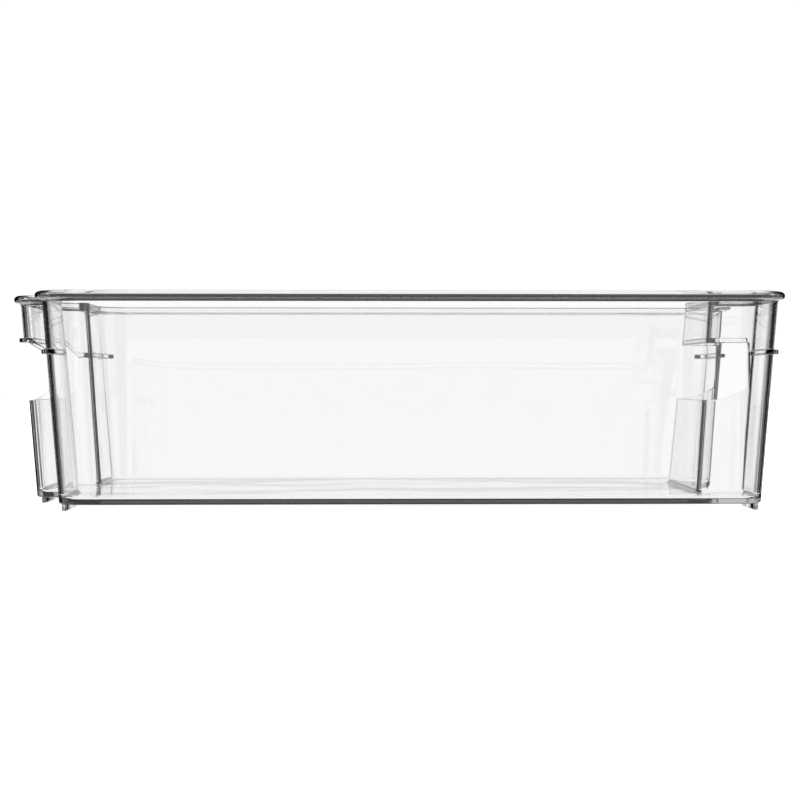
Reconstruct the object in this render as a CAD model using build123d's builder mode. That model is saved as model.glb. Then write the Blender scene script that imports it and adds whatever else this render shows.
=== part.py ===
"""Clear moulded fridge bin: tapered tub with a pull nose at one end and a finger recess at the other.

Frame: X runs from the pull nose (-X) to the finger recess (+X), Y across, Z up. The origin is the
middle of the footprint, on the surface that the foot ridges stand on. All sizes are millimetres.
The bin is one moulding. It is built as its regions, which meet face to face without overlap.
"""

import os
from math import cos, radians, tan

from build123d import *

# Overall sizes, rim tip to rim tip and foot to rim top
overall_length = 317.5
overall_width = 160.0
overall_height = 87.5

# Moulding
wall = 2.0
floor_thickness = 2.1
draft_angle = 4.8
corner_radius = 10.0  # upright corners of the tub at the floor, growing upwards with the draft
end_corner_radius = 4.2  # outer corners of the nose and of the recess mouth at the floor
hollow_corner_radius = 3.6  # inward corners of the plan, the same at every height
floor_fillet = 2.0

# Rim: a trumpet flare that thickens to a full round edge
flare_radius = 1.5
rim_edge_radius = 1.4

# Ends
nose_reach = 16.5
nose_half_width = 26.5  # at the floor, widening upwards
recess_depth = 18.8
recess_half_width = 36.0  # at the floor, narrowing upwards

# Hand slots through the nose and the recess
slot_bottom = 43.8
slot_top = 67.8
slot_scoop_rise = 5.7  # how far the lower edge climbs along each flank
nose_slot_root_gap = 1.2  # slot end to the start of the nose's root corner
recess_slot_end_gap = 1.4  # slot end to the inside of the end wall
nose_lip_flat = 4.0  # level part of the upper edge behind the nose face
nose_lip_fall_end = 4.6  # end of the falling part, in front of the end wall
recess_lip_fall = 3.6  # run of the falling part before the recess mouth
nose_band_gap = 1.0  # end of the grip band to the end of the slot
recess_band_gap = 1.2

# Rib round each end: lip under the grip band, stacking bead beside it
rib_overhang = 1.9
rib_thickness = 2.0
bead_height = 63.4
bead_wrap = 45.0  # degrees of the upright corner that the bead still covers

# Foot ridges
foot_height = 2.8
foot_width = 2.0
foot_length = 23.0
foot_edge_gap = 3.3  # ridge centre to the end wall at the floor
foot_side_gap = 6.0  # outer end of a corner ridge to the side wall at the floor
nose_foot_length = 40.0
foot_edge_round = 0.6

# Worked-out sizes
rim_overhang = flare_radius + rim_edge_radius
rim_height = flare_radius + 2 * rim_edge_radius
rim_level = overall_height - rim_height
floor_top = foot_height + floor_thickness
draft_slope = tan(radians(draft_angle))
draft_reach = (rim_level - foot_height) * draft_slope
rib_level = slot_top + rib_thickness / 2

side_at_floor = overall_width / 2 - rim_overhang - draft_reach
recess_end_at_floor = overall_length / 2 - rim_overhang - draft_reach
nose_face_at_floor = -overall_length / 2 + rim_overhang + draft_reach
pull_end_at_floor = nose_face_at_floor + nose_reach
mouth_half_width = recess_half_width + end_corner_radius  # where the flat end wall begins

OVER = 1.0  # how far cutting tools run past a face
FAR = overall_length  # longer than anything that a tool has to cover


def growth(level):
    """Outward shift of every drafted wall at a height."""
    return (level - foot_height) * draft_slope


def plan_corners(level, outset=0.0):
    """Corner points and radii of the outer plan at a height, anticlockwise from the pull end.

    A positive outset moves the line outwards, so -wall gives the inside of the tub.
    """
    grow = growth(level) + outset
    pull_x = pull_end_at_floor - grow
    nose_x = nose_face_at_floor - grow
    end_x = recess_end_at_floor + grow
    recess_x = end_x - recess_depth
    side_y = side_at_floor + grow
    nose_y = nose_half_width + grow
    recess_y = recess_half_width - grow
    upright = corner_radius + grow
    outer = end_corner_radius + grow
    hollow = hollow_corner_radius - outset
    corners = [
        ((pull_x, -side_y), upright),
        ((end_x, -side_y), upright),
        ((end_x, -recess_y), outer),
        ((recess_x, -recess_y), hollow),
        ((recess_x, recess_y), hollow),
        ((end_x, recess_y), outer),
        ((end_x, side_y), upright),
        ((pull_x, side_y), upright),
        ((pull_x, nose_y), hollow),
        ((nose_x, nose_y), outer),
        ((nose_x, -nose_y), outer),
        ((pull_x, -nose_y), hollow),
    ]
    return [point for point, _ in corners], [radius for _, radius in corners]


def plan_outline(level, outset=0.0):
    """Closed plan outline at a height, drawn flat."""
    points, radii = plan_corners(level, outset)
    with BuildLine(mode=Mode.PRIVATE) as outline:
        FilletPolyline(*points, radius=radii, close=True)
    return outline.line


def drafted_body(low, high, outset=0.0, mode=Mode.ADD):
    """Solid between two heights whose sides follow the drafted plan."""
    with BuildSketch(Plane.XY.offset(low)) as bottom:
        make_face(plan_outline(low, outset).edges())
    with BuildSketch(Plane.XY.offset(high)) as top:
        make_face(plan_outline(high, outset).edges())
    return loft([bottom.sketch, top.sketch], ruled=True, mode=mode)


# Heights and places along X that the slots, the ribs and the grip bands share
slot_middle = (slot_bottom + slot_top) / 2
bead_underside = bead_height - rib_thickness / 2
nose_slot_face_x = nose_face_at_floor - growth(slot_bottom)
nose_slot_end = pull_end_at_floor - growth(slot_middle) - hollow_corner_radius - nose_slot_root_gap
nose_lip_turn = nose_face_at_floor - growth(slot_top) + nose_lip_flat
nose_lip_end = pull_end_at_floor - growth(bead_height) - nose_lip_fall_end
recess_slot_face_x = recess_end_at_floor + growth(slot_bottom) - recess_depth
recess_slot_end = recess_end_at_floor + growth(slot_middle) - wall - recess_slot_end_gap
recess_lip_turn = recess_slot_end - recess_lip_fall
bead_corner_run = (corner_radius + growth(bead_height)) * (1 - cos(radians(90 - bead_wrap)))
pull_bead_start = pull_end_at_floor - growth(bead_height) + bead_corner_run
recess_bead_start = recess_end_at_floor + growth(bead_height) - bead_corner_run

# Zones that tell the grip bands from the tub: middle and size of a box for each end
band_low = slot_middle
band_high = rim_level + OVER
nose_band_zone = (-FAR / 2 + nose_slot_end - nose_band_gap, 0, (band_low + band_high) / 2)
nose_band_size = (FAR, overall_width, band_high - band_low)
recess_band_zone = (recess_slot_end - recess_band_gap - recess_depth, 0, (band_low + band_high) / 2)
recess_band_size = (2 * recess_depth, 2 * mouth_half_width, band_high - band_low)

# The whole wall and floor with both hand slots
with BuildPart() as moulding:
    drafted_body(foot_height, rim_level)
    drafted_body(floor_top, rim_level + OVER, outset=-wall, mode=Mode.SUBTRACT)
    fillet(moulding.edges().filter_by_position(Axis.Z, floor_top - 0.01, floor_top + 0.01), floor_fillet)

    # Slot round the nose: level under the grip, falling to the bead, scooped below
    with BuildSketch(Plane.XZ) as nose_slot:
        with BuildLine():
            TangentArc(
                (nose_slot_face_x, slot_bottom),
                (nose_slot_end, slot_bottom + slot_scoop_rise),
                tangent=(1, 0),
            )
            Polyline(
                (nose_slot_end, slot_bottom + slot_scoop_rise),
                (nose_slot_end, bead_underside),
                (nose_lip_end, bead_underside),
                (nose_lip_turn, slot_top),
                (-FAR, slot_top),
                (-FAR, slot_bottom),
                (nose_slot_face_x, slot_bottom),
            )
        make_face()
    extrude(amount=overall_width / 2, both=True, mode=Mode.SUBTRACT)

    # Slot round the recess, the same way up to the mouth
    with BuildSketch(Plane.XZ) as recess_slot:
        with BuildLine():
            TangentArc(
                (recess_slot_face_x, slot_bottom),
                (recess_slot_end, slot_bottom + slot_scoop_rise),
                tangent=(1, 0),
            )
            Polyline(
                (recess_slot_end, slot_bottom + slot_scoop_rise),
                (recess_slot_end, bead_underside),
                (recess_lip_turn, slot_top),
                (recess_slot_face_x - recess_depth, slot_top),
                (recess_slot_face_x - recess_depth, slot_bottom),
                (recess_slot_face_x, slot_bottom),
            )
        make_face()
    extrude(amount=mouth_half_width, both=True, mode=Mode.SUBTRACT)

# Tub: floor and walls without the two grip bands
with BuildPart() as tub_shell:
    add(moulding.part)
    with Locations(nose_band_zone):
        Box(*nose_band_size, mode=Mode.SUBTRACT)
    with Locations(recess_band_zone):
        Box(*recess_band_size, mode=Mode.SUBTRACT)

# Grip bands: the wall left between each slot and the rim
with BuildPart() as pull_grip_band:
    add(moulding.part)
    with Locations(nose_band_zone):
        Box(*nose_band_size, mode=Mode.INTERSECT)

with BuildPart() as recess_grip_band:
    add(moulding.part)
    with Locations(recess_band_zone):
        Box(*recess_band_size, mode=Mode.INTERSECT)

# Rim: concave underside, half-round edge and convex inner side, carried round the plan
with BuildPart() as stacking_rim:
    rim_path = Plane.XY.offset(rim_level) * plan_outline(rim_level)
    rim_start = rim_path @ 0
    rim_way = rim_path % 0
    outward = Vector(rim_way.Y, -rim_way.X, 0)
    with BuildSketch(Plane(origin=rim_start, x_dir=outward, z_dir=outward.cross(Vector(0, 0, 1)))) as flare:
        with BuildLine():
            CenterArc((flare_radius, 0), flare_radius, 90, 90)
            CenterArc((flare_radius, flare_radius + rim_edge_radius), rim_edge_radius, -90, 180)
            CenterArc((flare_radius, rim_height - flare_radius - wall), flare_radius + wall, 90, 90)
            Polyline((-wall, rim_height - flare_radius - wall), (-wall, 0), (0, 0))
        make_face()
    sweep(path=rim_path)

# Rib round the pull end: lip under the nose grip, falling to the bead on the end wall
with BuildPart() as pull_end_rib:
    drafted_body(slot_middle, rim_level - OVER, outset=rib_overhang)
    drafted_body(foot_height, rim_level, mode=Mode.SUBTRACT)
    with BuildSketch(Plane.XZ) as pull_rib_line:
        with BuildLine():
            pull_rib_way = Polyline(
                (-FAR, rib_level),
                (nose_lip_turn, rib_level),
                (nose_lip_end, bead_height),
                (pull_bead_start, bead_height),
            )
        trace(line_width=rib_thickness)
    extrude(amount=overall_width, both=True, mode=Mode.INTERSECT)

# Rib round the recess: the same lip, with the bead on the two end wall strips
with BuildPart() as recess_end_rib:
    drafted_body(slot_middle, rim_level - OVER, outset=rib_overhang)
    drafted_body(foot_height, rim_level, mode=Mode.SUBTRACT)
    with BuildPart(mode=Mode.INTERSECT):
        with BuildSketch(Plane.XZ) as recess_lip_line:
            with BuildLine():
                recess_lip_way = Polyline(
                    (recess_slot_face_x - recess_depth / 2, rib_level),
                    (recess_lip_turn, rib_level),
                    (recess_slot_end, bead_height),
                    (FAR, bead_height),
                )
            trace(line_width=rib_thickness)
        extrude(amount=mouth_half_width, both=True)
        with BuildSketch(Plane.XZ) as recess_bead_line:
            with Locations((recess_bead_start, bead_height)):
                Rectangle(FAR, rib_thickness, align=(Align.MIN, Align.CENTER))
        extrude(amount=overall_width, both=True)

# Foot ridges under the four corners and under the nose
corner_foot_y = side_at_floor - foot_side_gap - foot_length / 2
foot_places = {
    "foot_ridge_pull_near": (pull_end_at_floor + foot_edge_gap, -corner_foot_y, foot_length),
    "foot_ridge_pull_far": (pull_end_at_floor + foot_edge_gap, corner_foot_y, foot_length),
    "foot_ridge_recess_near": (recess_end_at_floor - foot_edge_gap, -corner_foot_y, foot_length),
    "foot_ridge_recess_far": (recess_end_at_floor - foot_edge_gap, corner_foot_y, foot_length),
    "foot_ridge_nose": (nose_face_at_floor + foot_edge_gap, 0, nose_foot_length),
}
foot_ridges = {}
for foot_name, (foot_x, foot_y, length) in foot_places.items():
    with BuildPart() as foot_ridge:
        with Locations((foot_x, foot_y, 0)):
            Box(foot_width, length, foot_height, align=(Align.CENTER, Align.CENTER, Align.MIN))
        fillet(foot_ridge.edges().group_by(Axis.Z)[0], foot_edge_round)
    foot_ridges[foot_name] = foot_ridge

pieces = {
    "tub_shell": tub_shell,
    "stacking_rim": stacking_rim,
    "pull_grip_band": pull_grip_band,
    "recess_grip_band": recess_grip_band,
    "pull_end_rib": pull_end_rib,
    "recess_end_rib": recess_end_rib,
    **foot_ridges,
}
os.makedirs("parts", exist_ok=True)
for name, piece in pieces.items():
    piece.part.label = name
    export_step(piece.part, f"parts/{name}.step")
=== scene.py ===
"""Clear moulded fridge bin: one seamless moulded surface in clear plastic on a plain pale floor."""

import math

import bmesh
import bpy
import numpy as np
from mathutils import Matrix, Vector
from mathutils.geometry import delaunay_2d_cdt


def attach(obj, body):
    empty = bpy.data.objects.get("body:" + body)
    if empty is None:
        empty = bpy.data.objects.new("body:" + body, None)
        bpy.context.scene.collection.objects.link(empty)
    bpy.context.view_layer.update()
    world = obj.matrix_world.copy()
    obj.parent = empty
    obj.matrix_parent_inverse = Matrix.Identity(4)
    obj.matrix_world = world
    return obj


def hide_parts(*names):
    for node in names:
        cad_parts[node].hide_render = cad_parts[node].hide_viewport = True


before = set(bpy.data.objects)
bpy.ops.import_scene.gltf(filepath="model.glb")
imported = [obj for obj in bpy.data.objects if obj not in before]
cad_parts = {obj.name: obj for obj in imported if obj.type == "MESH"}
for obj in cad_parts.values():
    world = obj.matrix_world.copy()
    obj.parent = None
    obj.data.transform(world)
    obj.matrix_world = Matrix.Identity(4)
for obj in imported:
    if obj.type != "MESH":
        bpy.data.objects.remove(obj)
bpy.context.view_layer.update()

MM = 0.001

# Sizes of the moulding, in millimetres. They are the solids' sizes, apart from the rim's section, the recess
# slot's end with the lip beside it, and the feet's places, width and rounding, by less than 3 mm each
LENGTH, WIDTH, HEIGHT = 317.5, 160.0, 87.5
WALL, FLOOR, FOOT = 2.0, 2.1, 2.8
SLOPE = math.tan(math.radians(4.8))
UPRIGHT, OUTER, HOLLOW = 10.0, 4.2, 3.6  # plan radii at the floor
FLARE, RIM_EDGE, RIM_CORNER = 1.3, 1.6, 0.5
RIM_LEVEL = HEIGHT - FLARE - 2 * RIM_EDGE
REACH = FLARE + RIM_EDGE + (RIM_LEVEL - FOOT) * SLOPE
NOSE_REACH, RECESS_DEPTH = 16.5, 18.8
NOSE_HALF, RECESS_HALF = 26.5, 36.0
FLOOR_TOP = FOOT + FLOOR
FLOOR_FILLET, EDGE_ROUND = 2.0, 0.8

# Places of the drafted faces at the floor
SIDE = WIDTH / 2 - REACH
END = LENGTH / 2 - REACH
NOSE = -END
PULL = NOSE + NOSE_REACH

# Hand slots and the rib: lower and upper edge of the slots, rise of the lower one, then the stacking bead
SLOT_LOW, SLOT_TOP, SCOOP = 43.8, 67.8, 5.7
SLOT_MIDDLE = (SLOT_LOW + SLOT_TOP) / 2
CUT_ROUND = 0.35
NOSE_SLOT_GAP, RECESS_SLOT_GAP = 1.2, 0.8  # slot's end to the hollow corner, and to the end wall's inner face
BEAD, RIB, RIB_OUT = 63.4, 2.0, 1.9
RIB_ROUND, RIB_DRAFT = 0.45, 0.06
LIP_FLAT, LIP_END_GAP = 4.0, 4.6  # the nose's lip: level part behind its face, fall's end to the end wall
RECESS_LIP_FALL = (0.5, 1.4)  # start and end of the recess lip's fall, past the slot's end
RIB_FADE = 0.05  # share of an upright corner's turn in which the rib dies out

# Foot ridges: half width, rounding, lengths, and gaps to the walls at the floor
FOOT_HALF, FOOT_ROUND = 1.1, 0.6
FOOT_LENGTH, NOSE_FOOT_LENGTH = 23.0, 40.0
FOOT_END_GAP, NOSE_FOOT_GAP, FOOT_SIDE_GAP = 2.5, 2.2, 6.0

# The mesh: guard rows near a corner keep its shading out of the flat faces
GUARD, GUARD_RISE = 0.25, 0.01  # and the rise of the one on the rib
UNDER_GUARD = 0.02  # the same on the underside, where the foot ridges come close to the floor's edge
WALL_ROWS, BAND_ROWS, RIM_ROWS = 10, 8, 4
SLOT_GUESS, RIB_GUESS = 46.0, 66.0  # heights that the search for a slot edge and for the rib starts from


def growth(z):
    """Outward shift of the drafted walls, g(z) = (min(z, rim level) - foot height) * slope."""
    return (np.minimum(z, RIM_LEVEL) - FOOT) * SLOPE


# Ends of the slots and the runs in which the lip falls to the bead, as x
NOSE_SLOT_FACE = NOSE - growth(SLOT_LOW)
NOSE_SLOT_END = PULL - growth(SLOT_MIDDLE) - HOLLOW - NOSE_SLOT_GAP
NOSE_LIP = (NOSE - growth(SLOT_TOP) + LIP_FLAT, PULL - growth(BEAD) - LIP_END_GAP)
RECESS_SLOT_FACE = END + growth(SLOT_LOW) - RECESS_DEPTH
RECESS_SLOT_END = END + growth(SLOT_MIDDLE) - WALL - RECESS_SLOT_GAP
RECESS_LIP = tuple(RECESS_SLOT_END + way for way in RECESS_LIP_FALL)

# Plan corners, anticlockwise: kind, x and y side, start angle and turn in degrees
UP, OUT, IN = "upright", "outer", "hollow"
CORNERS = [
    (UP, -1, -1, 180, 90), (UP, 1, -1, 270, 90), (OUT, 1, -1, 0, 90), (IN, 1, -1, 270, -90),
    (IN, 1, 1, 180, -90), (OUT, 1, 1, 270, 90), (UP, 1, 1, 0, 90), (UP, -1, 1, 90, 90),
    (IN, -1, 1, 0, -90), (OUT, -1, 1, 90, 90), (OUT, -1, -1, 180, 90), (IN, -1, -1, 90, -90),
]
ARC_STEPS = {UP: 20, OUT: 18, IN: 10}
LINE_STEPS = [40, 4, 10, 20, 10, 4, 40, 4, 12, 16, 12, 4]  # after each corner

# Where a column follows a slot's end: share of the run after corners 8 and 10, share of a mouth corner's turn
FLANK_KNOTS = {8: 0.25, 10: 0.75}
FLANK_MARGIN = 0.04
MOUTH_KNOT = 0.5
MOUTH_SINE = 0.94  # the column turns no further round a mouth corner than this sine


def stations():
    """Columns of the surface: corner, share of its turn, share of the straight run after it."""
    rows = []
    for k, corner in enumerate(CORNERS):
        steps = ARC_STEPS[corner[0]]
        rows += [(k, i / steps, 0.0) for i in range(steps + 1)]
        rows += [(k, 1.0, i / LINE_STEPS[k]) for i in range(1, LINE_STEPS[k])]
    return np.array(rows)


COLUMNS = stations()
CORNER, TURN, ALONG = COLUMNS[:, 0].astype(int), COLUMNS[:, 1], COLUMNS[:, 2]
COUNT = len(COLUMNS)
AT_NOSE = (CORNER >= 8) & ~((CORNER == 11) & (ALONG > 0))
AT_RECESS = (CORNER >= 2) & (CORNER <= 5)


def column_at(k, turn, along):
    """Number of the column at a corner's turn or on the run after it."""
    miss = np.abs(CORNER - k) * 10 + np.abs(TURN - turn) + np.abs(ALONG - along)
    return int(np.argmin(miss))


NOSE_CUT = tuple(column_at(k, 1.0, knot) for k, knot in FLANK_KNOTS.items())
RECESS_CUT = (column_at(2, MOUTH_KNOT, 0.0), column_at(5, MOUTH_KNOT, 0.0))


def stretch(share, knot, place):
    """Piecewise linear map of 0..1 onto itself that takes knot to place."""
    before = share / knot * place
    after = place + (share - knot) / (1 - knot) * (1 - place)
    return np.where(share < knot, before, after)


def corner_point(k, turn, z, out):
    """Point C + r (cos a, sin a) on a plan corner, out millimetres outside the wall's face at height z.

    With g = growth(z) + out, a convex corner keeps its centre C and has r = R + g. A hollow corner has
    r = R - out, and its centre moves outwards with g.
    """
    kind, sx, sy, start, sweep = CORNERS[k]
    g = growth(z) + out
    if kind == UP:
        cx = PULL + UPRIGHT if sx < 0 else END - UPRIGHT
        cy, r = sy * (SIDE - UPRIGHT), UPRIGHT + g
    elif kind == OUT:
        cx, r = sx * (END - OUTER), OUTER + g
        cy = sy * ((RECESS_HALF + OUTER) if sx > 0 else (NOSE_HALF - OUTER))
    else:
        r = HOLLOW - out
        if sx > 0:
            cx, cy = END - RECESS_DEPTH + g + r, sy * (RECESS_HALF - g - r)
        else:
            cx, cy = PULL - g - r, sy * (NOSE_HALF + g + r)
    if kind == OUT and sx > 0:
        # the slot's end stays at one x on the mouth corner, whatever the radius
        end = np.arcsin(np.minimum((RECESS_SLOT_END + CUT_ROUND - cx) / r, MOUTH_SINE)) / (math.pi / 2)
        turn = stretch(turn, MOUTH_KNOT, end if sy > 0 else 1 - end)
    a = np.radians(start + sweep * turn)
    return cx + r * np.cos(a), cy + r * np.sin(a)


def plan(z, out):
    """Plan point of every column, x, y = P0 + (P1 - P0) * along between a corner's point and the next corner.

    z and out have rows x columns, and so have x and y.
    """
    z, out = np.broadcast_arrays(np.asarray(z, float), np.asarray(out, float))
    x = np.empty(z.shape)
    y = np.empty(z.shape)
    for k in range(len(CORNERS)):
        here = CORNER == k
        zk, ok = z[..., here], out[..., here]
        turn, along = TURN[here], ALONG[here]
        x0, y0 = corner_point(k, turn, zk, ok)
        x1, y1 = corner_point((k + 1) % len(CORNERS), np.zeros(here.sum()), zk, ok)
        if k in FLANK_KNOTS:
            # the nose flank keeps one column at the slot's end
            share = (x0 - NOSE_SLOT_END - CUT_ROUND) / (x0 - x1)
            share = np.clip(share, FLANK_MARGIN, 1 - FLANK_MARGIN)
            along = np.where(along > 0, stretch(along, FLANK_KNOTS[k], share), 0.0)
        x[..., here] = x0 + (x1 - x0) * along
        y[..., here] = y0 + (y1 - y0) * along
    return x, y


def edge_low(x):
    """Lower slot edge at x: level at the face, then a circle's arc up to the slot's end.

    z = low + r - sqrt(r^2 - s^2), with s the way from the face and r = (run^2 + scoop^2) / (2 scoop).
    """
    nose, recess = (AT_NOSE, NOSE_SLOT_FACE, NOSE_SLOT_END), (AT_RECESS, RECESS_SLOT_FACE, RECESS_SLOT_END)
    level = np.full(COUNT, SLOT_LOW + SCOOP)
    for here, face, end in (nose, recess):
        run = end - face
        radius = (run**2 + SCOOP**2) / (2 * SCOOP)
        step = np.clip(x - face, 0, run)
        level = np.where(here, SLOT_LOW + radius - np.sqrt(radius**2 - step**2), level)
    return level


def rib_middle(x):
    """Middle height of the rib: under the grips it is level, then it falls in a straight line to the bead."""
    level = np.full(COUNT, BEAD)
    for here, turns in ((AT_NOSE, NOSE_LIP), (AT_RECESS, RECESS_LIP)):
        level = np.where(here, np.interp(x, turns, (SLOT_TOP + RIB / 2, BEAD)), level)
    return level


def settle(rule, out, start):
    """Height z = rule(x(z)) at which a rule of x meets the drafted surface at an outset."""
    z = np.full(COUNT, start)
    for _ in range(12):
        z = rule(plan(z, np.full(COUNT, out))[0])
    return z


def rib_share():
    """How far the rib stands out along the columns: 1 round both ends, 0 along the sides.

    In the middle of the upright corners it fades as s^2 (3 - 2 s).
    """
    share = np.ones(COUNT)
    for k, sign in ((0, -1), (6, -1), (1, 1), (7, 1)):
        here = (CORNER == k) & (ALONG == 0)
        ramp = np.clip((TURN - 0.5) * sign / RIB_FADE + 0.5, 0, 1)
        share = np.where(here, ramp * ramp * (3 - 2 * ramp), share)
    for k in (0, 6):
        share[(CORNER == k) & (ALONG > 0)] = 0
    return share


def spread(count, low=0.0, high=1.0):
    """Numbers from low to high in count equal steps."""
    return np.linspace(low, high, count + 1)


def arc(cx, cz, r, a0, a1, steps):
    """Rows on an arc of the section: (out, z) = (cx + r cos a, cz + r sin a)."""
    a = np.radians(spread(steps, a0, a1))
    return [(np.full(COUNT, cx + r * math.cos(t)), np.full(COUNT, cz + r * math.sin(t))) for t in a]


def climb(z0, z1, steps):
    """Heights from z0 to z1 in equal steps, with one more guard row beside each end."""
    side = np.sign(z1 - z0) * GUARD
    inner = [z0 + (z1 - z0) * k / steps for k in range(1, steps)]
    return [z0, z0 + side] + inner + [z1 - side, z1]


def rib_section():
    """Outsets and heights over the rib from its lower root to its upper one, its two outer edges rounded."""
    flat = RIB_OUT - RIB_ROUND
    section = [(GUARD, GUARD_RISE), (flat, RIB_DRAFT)]
    for t in np.radians(spread(4, 0, 90))[1:]:
        section.append((flat + RIB_ROUND * math.sin(t), RIB_DRAFT + RIB_ROUND * (1 - math.cos(t))))
    return section + [(o, RIB - z) for o, z in reversed(section)] + [(0.0, RIB)]


def bin_rows():
    """Rows of the closed section, from the outer bottom edge up, over the rim and down to the floor.

    Returns outsets and heights, both rows x columns, with the row numbers that bound the slot bands.
    """
    low0, mid0 = settle(edge_low, 0.0, SLOT_GUESS), settle(rib_middle, 0.0, RIB_GUESS)
    low1, mid1 = settle(edge_low, -WALL, SLOT_GUESS), settle(rib_middle, -WALL, RIB_GUESS)
    zero, inner = np.zeros(COUNT), np.full(COUNT, -WALL)
    slot_low0, slot_low1 = low0 - CUT_ROUND, low1 - CUT_ROUND
    rib_low = mid0 - RIB / 2
    slot_top = mid1 - RIB / 2 + CUT_ROUND
    fillet_top = FLOOR_TOP + FLOOR_FILLET

    # outer face, with the rib
    rows = [(zero - EDGE_ROUND - UNDER_GUARD, zero + FOOT)]
    rows += arc(-EDGE_ROUND, FOOT + EDGE_ROUND, EDGE_ROUND, -90, 0, steps=6)
    rows += [(zero, z) for z in climb(zero + FOOT + EDGE_ROUND, slot_low0, WALL_ROWS)[1:]]
    marks = [len(rows) - 1]
    rows += [(zero, z) for z in climb(slot_low0, rib_low, BAND_ROWS)[1:]]
    marks.append(len(rows) - 1)
    share = rib_share()
    rows += [(share * out, rib_low + z) for out, z in rib_section()]
    rows += [(zero, z) for z in climb(rib_low + RIB, zero + RIM_LEVEL, BAND_ROWS)[1:]]

    # rim: flare, round edge, then a tight inner corner
    rows += arc(FLARE, RIM_LEVEL, FLARE, 180, 90, steps=10)[1:]
    rows += arc(FLARE, RIM_LEVEL + FLARE + RIM_EDGE, RIM_EDGE, -90, 90, steps=16)[1:]
    rows += arc(RIM_CORNER - WALL, HEIGHT - RIM_CORNER, RIM_CORNER, 90, 180, steps=6)
    rows += [(inner, z) for z in climb(zero + HEIGHT - RIM_CORNER, zero + RIM_LEVEL, RIM_ROWS)[1:]]

    # inner face and the fillet round the floor
    rows += [(inner, z) for z in climb(zero + RIM_LEVEL, slot_top, WALL_ROWS)[1:]]
    marks.append(len(rows) - 1)
    rows += [(inner, z) for z in climb(slot_top, slot_low1, BAND_ROWS)[1:]]
    marks.append(len(rows) - 1)
    rows += [(inner, z) for z in climb(slot_low1, zero + fillet_top, WALL_ROWS)[1:]]
    rows += arc(-WALL - FLOOR_FILLET, fillet_top, FLOOR_FILLET, 0, -90, steps=10)[1:]
    rows.append((inner - FLOOR_FILLET - GUARD, zero + FLOOR_TOP))
    outs = np.array([row[0] for row in rows])
    heights = np.array([row[1] for row in rows])
    return outs, heights, marks


def slot_run(z, columns, out, push, cut):
    """Points of some columns at heights z, P + (N - P) / |N - P| * push at a slot's two end columns.

    N is the next column towards the opening; the columns between the two ends stay where they are.
    """
    full = np.zeros((len(z), COUNT)) + z[:, None]
    x, y = plan(full, np.full(full.shape, out))
    rows = np.arange(len(z))
    step = np.where(columns == cut[0], 1, np.where(columns == cut[1], -1, 0))
    beside = (columns + step) % COUNT
    px, py = x[rows, columns], y[rows, columns]
    nx, ny = x[rows, beside], y[rows, beside]
    share = push * (step != 0) / np.maximum(np.hypot(nx - px, ny - py), 1e-9)
    return np.stack([px + (nx - px) * share, py + (ny - py) * share, z], -1)


def slot_edge(cut):
    """Rounded edge all round a slot, from the outer face of the wall to the inner one.

    Loop by loop the outset is r (cos a - 1) and the edge lies r (1 - sin a) back from the opening.
    """
    r = CUT_ROUND
    turns = np.radians(spread(4, 0, 90))
    steps = [(-r * (1 - math.cos(t)), r * (1 - math.sin(t)), True) for t in turns]
    steps += [(-WALL + r * (1 - math.cos(t)), r * (1 - math.sin(t)), False) for t in turns[::-1]]
    first, last = cut
    across = np.arange(first, last + 1)
    loops = []
    for out, back, outside in steps:
        low = settle(edge_low, out, SLOT_GUESS) - back
        high = settle(rib_middle, out, RIB_GUESS) - RIB / 2 + (0.0 if outside else back)
        right = np.array(climb(low[last], high[last], BAND_ROWS)[1:-1])
        left = np.array(climb(high[first], low[first], BAND_ROWS)[1:-1])
        runs = [
            (low[across], across),
            (right, np.full(len(right), last)),
            (high[across[::-1]], across[::-1]),
            (left, np.full(len(left), first)),
        ]
        loops.append(np.concatenate([slot_run(z, columns, out, r - back, cut) for z, columns in runs]))
    return np.array(loops)


def bar_loop(half_x, half_y, steps=6):
    """Plan loop of a bar with fully round ends, anticlockwise: two half circles of radius half_x."""
    a = np.radians(spread(steps, 0, 180))
    ends = []
    for side, turn in ((1, 0.0), (-1, math.pi)):
        x, y = half_x * np.cos(a + turn), side * (half_y - half_x) + half_x * np.sin(a + turn)
        ends.append(np.stack([x, y], -1))
    return np.concatenate(ends)


def feet():
    """Plan middle and length of each foot ridge: four near the corners and one under the nose."""
    y = SIDE - FOOT_SIDE_GAP - FOOT_LENGTH / 2
    ends = (PULL + FOOT_END_GAP, END - FOOT_END_GAP)
    corners = [(x, side * y, FOOT_LENGTH) for x in ends for side in (-1, 1)]
    return corners + [(NOSE + NOSE_FOOT_GAP, 0.0, NOSE_FOOT_LENGTH)]


def foot_rows(x, y, length):
    """Rows of one foot ridge from the floor's underside down, its lower edges rounded.

    On the rounding, the loop is inset by r (1 - cos a) at the height r (1 - sin a).
    """
    r = FOOT_ROUND
    steps = [(-UNDER_GUARD, FOOT), (0.0, FOOT), (0.0, FOOT - GUARD), (0.0, r + GUARD)]
    steps += [(r * (1 - math.cos(a)), r * (1 - math.sin(a))) for a in np.radians(spread(6, 0, 90))]
    rows = []
    for inset, z in steps:
        loop = bar_loop(FOOT_HALF - inset, length / 2 - inset)
        rows.append(np.column_stack([loop + (x, y), np.full(len(loop), z)]))
    return np.array(rows)


def inside(points, ring):
    """Even-odd test of many points against one closed ring: the crossings to the right of a point are odd."""
    x, y = points[:, None, 0], points[:, None, 1]
    ax, ay = ring[:, 0], ring[:, 1]
    bx, by = np.roll(ax, -1), np.roll(ay, -1)
    crosses = (ay > y) != (by > y)
    at = (bx - ax) * (y - ay) / np.where(by == ay, 1, by - ay) + ax
    return (np.sum(crosses & (x < at), axis=1) % 2) == 1


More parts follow.
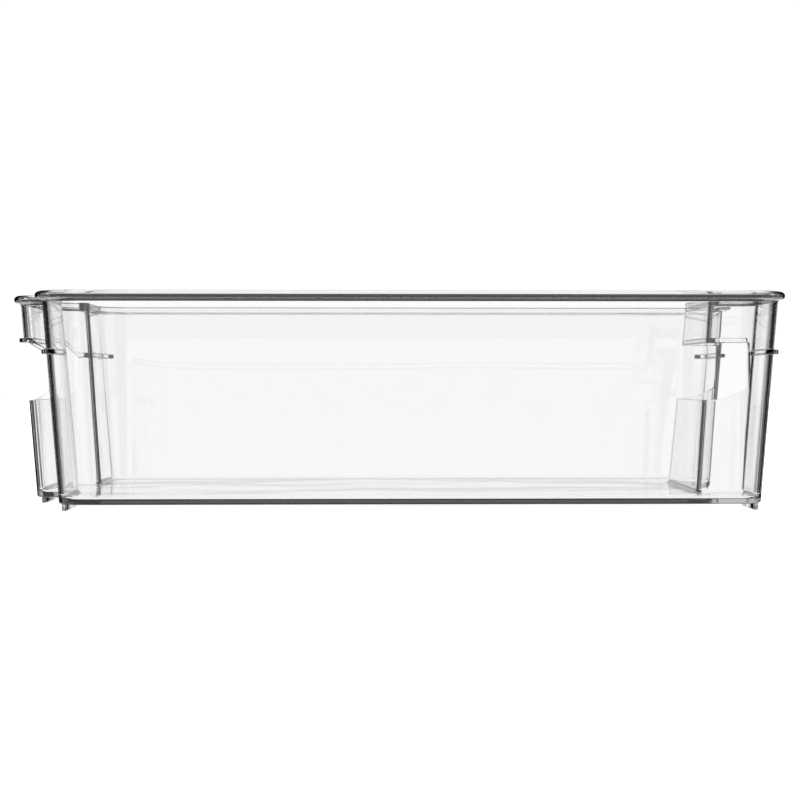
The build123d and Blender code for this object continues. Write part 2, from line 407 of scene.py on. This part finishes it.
def flat_fill(ring, holes, z, up):
    """Triangles of a flat region with holes at height z, facing up or down, as points and faces."""
    loops = [ring] + holes
    edges, start = [], 0
    for loop in loops:
        numbers = start + np.arange(len(loop))
        edges += np.stack([numbers, np.roll(numbers, -1)], -1).tolist()
        start += len(loop)
    found = delaunay_2d_cdt([Vector(p) for p in np.concatenate(loops)], edges, [], 0, 1e-7)
    verts = np.array([tuple(v) for v in found[0]])
    faces = np.array([tuple(f) for f in found[2]])
    middles = verts[faces].mean(axis=1)
    keep = inside(middles, ring)
    for hole in holes:
        keep &= ~inside(middles, hole)
    faces = faces[keep]
    ab, ac = verts[faces[:, 1]] - verts[faces[:, 0]], verts[faces[:, 2]] - verts[faces[:, 0]]
    turn = ab[:, 0] * ac[:, 1] - ab[:, 1] * ac[:, 0]
    flip = (turn > 0) != up
    faces[flip] = faces[flip][:, ::-1]
    return np.column_stack([verts, np.full(len(verts), z)]), faces


class Surface:
    """Points and faces of one mesh, gathered from patches and welded at the end."""

    def __init__(self):
        self.points, self.faces, self.count = [], [], 0

    def add(self, points, faces):
        """Adds a patch: its points, and faces as rows of its own point numbers."""
        self.points.append(points.reshape(-1, 3))
        self.faces += (np.asarray(faces) + self.count).tolist()
        self.count += len(self.points[-1])

    def grid(self, points, skip=None):
        """Adds quads over rows x columns, closed round the columns, without those marked in skip."""
        rows, cols = points.shape[:2]
        r, c = np.meshgrid(np.arange(rows - 1), np.arange(cols), indexing="ij")
        keep = np.ones(r.shape, bool) if skip is None else ~skip
        r, c = r[keep], c[keep]
        n = (c + 1) % cols
        self.add(points, np.stack([r * cols + c, r * cols + n, (r + 1) * cols + n, (r + 1) * cols + c], -1))

    def build(self, name, weld=0.004):
        """The finished object, its patches welded where points lie closer than weld millimetres."""
        mesh = bpy.data.meshes.new(name)
        mesh.from_pydata((np.concatenate(self.points) * MM).tolist(), [], self.faces)
        work = bmesh.new()
        work.from_mesh(mesh)
        bmesh.ops.remove_doubles(work, verts=work.verts, dist=weld * MM)
        bmesh.ops.dissolve_degenerate(work, dist=1e-7, edges=work.edges)
        open_edges = sum(1 for edge in work.edges if not edge.is_manifold)
        work.to_mesh(mesh)
        work.free()
        mesh.polygons.foreach_set("use_smooth", np.ones(len(mesh.polygons), bool))
        print(name, "faces", len(mesh.polygons), "open edges", open_edges)
        obj = bpy.data.objects.new(name, mesh)
        bpy.context.scene.collection.objects.link(obj)
        return obj


def make_bin():
    """The moulding: wall, rim, ribs, slots, floor and foot ridges in one closed surface."""
    outs, heights, marks = bin_rows()
    x, y = plan(heights, outs)
    points = np.stack([x, y, heights], -1)
    skip = np.zeros((len(points) - 1, COUNT), bool)
    surface = Surface()
    for first, last in (NOSE_CUT, RECESS_CUT):
        skip[marks[0]:marks[1], first:last] = True
        skip[marks[2]:marks[3], first:last] = True
    surface.grid(points, skip)
    for cut in (NOSE_CUT, RECESS_CUT):
        surface.grid(slot_edge(cut))
    ridges = [foot_rows(*foot) for foot in feet()]
    surface.add(*flat_fill(points[0][:, :2], [ridge[0][:, :2] for ridge in ridges], FOOT, up=False))
    surface.add(*flat_fill(points[-1][:, :2], [], FLOOR_TOP, up=True))
    for ridge in ridges:
        surface.grid(ridge[::-1])
        surface.add(ridge[-1], [np.arange(ridge.shape[1])[::-1]])
    return surface.build("bin_moulding")


class Nodes:
    """A cleared node tree, and the one method that adds any node to it."""

    def __init__(self, tree):
        self.tree = tree
        self.tree.nodes.clear()

    def add(self, kind, inputs=None, out=0, **settings):
        """Adds a node: its settings first, then the values or links of its sockets."""
        node = self.tree.nodes.new(kind)
        for key, value in settings.items():
            setattr(node, key, value)
        for key, value in (inputs or {}).items():
            if isinstance(value, Socket):
                self.tree.links.new(value.socket, node.inputs[key])
            else:
                node.inputs[key].default_value = value
        return Socket(self, node.outputs[out]) if len(node.outputs) else node

    def math(self, operation, *values):
        return self.add("ShaderNodeMath", dict(enumerate(values)), operation=operation)


class Socket:
    """One output socket: arithmetic on it adds Math nodes, and ["name"] is another output of its node."""

    def __init__(self, nodes, socket):
        self.nodes, self.socket = nodes, socket

    def __add__(self, other):
        return self.nodes.math("ADD", self, other)

    def __mul__(self, other):
        return self.nodes.math("MULTIPLY", self, other)

    def __truediv__(self, other):
        return self.nodes.math("DIVIDE", self, other)

    def __rtruediv__(self, other):
        return self.nodes.math("DIVIDE", other, self)

    def __getitem__(self, name):
        return Socket(self.nodes, self.socket.node.outputs[name])

    __radd__ = __add__
    __rmul__ = __mul__


def new_material(name):
    """A material and its empty node tree."""
    material = bpy.data.materials.new(name)
    material.use_nodes = True
    return material, Nodes(material.node_tree)


def clear_plastic():
    """Clear polished styrene: refraction, faint flow waves and handling haze, and grey absorption within.

    The absorption is density * (1 - colour) = 20 per metre, so it shows only along the walls.
    """
    material, n = new_material("clear_plastic")
    place = n.add("ShaderNodeTexCoord")["Object"]
    flow = n.add("ShaderNodeMapping", {"Vector": place, "Scale": (7.0, 16.0, 16.0)})
    waves = n.add("ShaderNodeTexNoise", {"Vector": flow, "Scale": 1.6, "Detail": 2.0, "Roughness": 0.45})
    fine = n.add("ShaderNodeTexNoise", {"Vector": place, "Scale": 900.0, "Detail": 3.0})
    haze = n.add("ShaderNodeTexNoise", {"Vector": place, "Scale": 34.0, "Detail": 4.0, "Roughness": 0.6})
    hazy = {"Value": haze, "From Min": 0.42, "From Max": 0.78, "To Min": 0.004, "To Max": 0.03}
    rough = n.add("ShaderNodeMapRange", hazy) + fine * 0.006
    greys = {"Factor": haze, 6: (1.0, 1.0, 1.0, 1), 7: (0.992, 0.992, 0.993, 1)}
    tint = n.add("ShaderNodeMix", greys, out=2, data_type="RGBA")
    wavy = n.add("ShaderNodeBump", {"Height": waves, "Strength": 0.10, "Distance": 0.0012})
    shader = n.add("ShaderNodeBsdfPrincipled", {
        "Base Color": tint, "Roughness": rough, "Normal": wavy, "Transmission Weight": 1.0, "IOR": 1.57,
    })
    body = n.add("ShaderNodeVolumeAbsorption", {"Color": (0.5, 0.5, 0.5, 1), "Density": 40.0})
    n.add("ShaderNodeOutputMaterial", {"Surface": shader, "Volume": body})
    return material


def stage_floor():
    """Pale matte floor: a soft shadow on its own white for the camera, open to the room for other rays."""
    material, n = new_material("stage_floor")
    matte = n.add("ShaderNodeBsdfDiffuse", {"Color": (0.86, 0.86, 0.86, 1)})
    own = n.add("ShaderNodeEmission", {"Color": (1, 1, 1, 1), "Strength": 0.87})
    pale = n.add("ShaderNodeAddShader", {0: matte, 1: own})
    clear = n.add("ShaderNodeBsdfTransparent")
    seen = n.add("ShaderNodeLightPath")["Is Camera Ray"]
    floor = n.add("ShaderNodeMixShader", {0: seen, 1: clear, 2: pale})
    n.add("ShaderNodeOutputMaterial", {"Surface": floor})
    return material


def flag_black():
    """Black card over the bin: it darkens what the rim's underside bends upwards."""
    material, n = new_material("flag_black")
    black = n.add("ShaderNodeEmission", {"Color": (1, 1, 1, 1), "Strength": 0.01})
    n.add("ShaderNodeOutputMaterial", {"Surface": black})
    return material


# The stage, in metres
FLOOR_REACH, FLOOR_DROP = 4, 0.0002
CARD_X, CARD_Y, CARD_Z = (-0.30, 0.30), (-0.0735, 0.0765), 0.1005


def level_piece(name, x0, x1, y0, y1, z, material):
    """Stage piece: the rectangle x0..x1, y0..y1 at height z."""
    mesh = bpy.data.meshes.new(name)
    mesh.from_pydata([(x0, y0, z), (x1, y0, z), (x1, y1, z), (x0, y1, z)], [], [(0, 1, 2, 3)])
    mesh.materials.append(material)
    piece = bpy.data.objects.new(name, mesh)
    bpy.context.scene.collection.objects.link(piece)
    return piece


def set_stage():
    """Floor just under the feet, the card that only rays through the plastic see, and a soft sun."""
    reach = (-FLOOR_REACH, FLOOR_REACH)
    level_piece("studio_floor", *reach, *reach, -FLOOR_DROP, stage_floor())
    card = level_piece("dark_flag", *CARD_X, *CARD_Y, CARD_Z, flag_black())
    card.visible_camera = card.visible_glossy = card.visible_diffuse = card.visible_shadow = False
    lamp = bpy.data.lights.new("sky_panel", "SUN")
    lamp.energy, lamp.angle = 0.5, math.radians(50)
    sky = bpy.data.objects.new("sky_panel", lamp)
    sky.rotation_euler = (math.radians(12), math.radians(8), 0)
    sky.visible_glossy = sky.visible_transmission = False
    bpy.context.scene.collection.objects.link(sky)


# Edges of the room's white parts, where 1 starts to fall and where 0 is reached
PANEL_EDGE, FLOOR_EDGE, ZENITH_EDGE = (0.36, 0.46), (-0.26, -0.16), (-0.9, -0.7)
FLAG_GLOW = 0.02


def set_world():
    """Studio surround fixed in the room.

    Four white panels stand round the horizon, one on each axis; the floor and the zenith are white too.
    Between the panels hang dark flags, which draw the dark outlines of clear plastic.
    off_axis = min(|x|, |y|) / max(|x|, |y|), the tangent of the azimuth from the nearest axis.
    """
    world = bpy.data.worlds.new("studio")
    bpy.context.scene.world = world
    world.use_nodes = True
    n = Nodes(world.node_tree)
    parts = n.add("ShaderNodeSeparateXYZ", {0: n.add("ShaderNodeTexCoord")["Generated"]})
    across, along = n.math("ABSOLUTE", parts["X"]), n.math("ABSOLUTE", parts["Y"])
    off_axis = n.math("MINIMUM", across, along) / (n.math("MAXIMUM", across, along) + 0.0001)

    def fall(value, edge):
        """Smooth step down from 1 at the edge's start to 0 at its end."""
        ends = {"Value": value, "From Min": edge[0], "From Max": edge[1], "To Min": 1.0, "To Max": 0.0}
        return n.add("ShaderNodeMapRange", ends, interpolation_type="SMOOTHSTEP")

    panel = fall(off_axis, PANEL_EDGE)
    below = fall(parts["Z"], FLOOR_EDGE)
    above = fall(parts["Z"] * -1.0, ZENITH_EDGE)
    glow = n.math("MAXIMUM", n.math("MAXIMUM", panel, below), above) + FLAG_GLOW
    seen = n.add("ShaderNodeLightPath")["Is Camera Ray"]
    room = {"Color": (1, 1, 1, 1), "Strength": n.math("MAXIMUM", glow, seen)}
    n.add("ShaderNodeOutputWorld", {"Surface": n.add("ShaderNodeBackground", room)})


# The photograph's view: its side, the camera's focal length and the point straight ahead of it in pixels,
# and the camera's place in millimetres before it turns round the bin
PICTURE, FOCAL, AHEAD = 800, 1638, (414.2, 379.3)
CAMERA_X, CAMERA_Y, CAMERA_Z = 10.75, -718.8, 52.45
CAMERA_TURN = math.radians(1.4)


def set_camera():
    """Level camera at (x cos t + y sin t, y cos t - x sin t), with its frame shifted to the photograph's."""
    data = bpy.data.cameras.new("camera")
    data.sensor_width = 36.0
    data.lens = data.sensor_width * FOCAL / PICTURE
    data.shift_x = (PICTURE / 2 - AHEAD[0]) / PICTURE
    data.shift_y = (AHEAD[1] - PICTURE / 2) / PICTURE
    data.clip_end = 50
    camera = bpy.data.objects.new("camera", data)
    c, s = math.cos(CAMERA_TURN), math.sin(CAMERA_TURN)
    camera.location = Vector((CAMERA_X * c + CAMERA_Y * s, CAMERA_Y * c - CAMERA_X * s, CAMERA_Z)) * MM
    camera.rotation_euler = (math.radians(90), 0, -CAMERA_TURN)
    bpy.context.scene.collection.objects.link(camera)
    bpy.context.scene.camera = camera


bin_piece = make_bin()
bin_piece.data.materials.append(clear_plastic())
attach(bin_piece, "root")
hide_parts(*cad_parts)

set_stage()
set_world()
set_camera()
bpy.context.scene.view_settings.view_transform = "Standard"
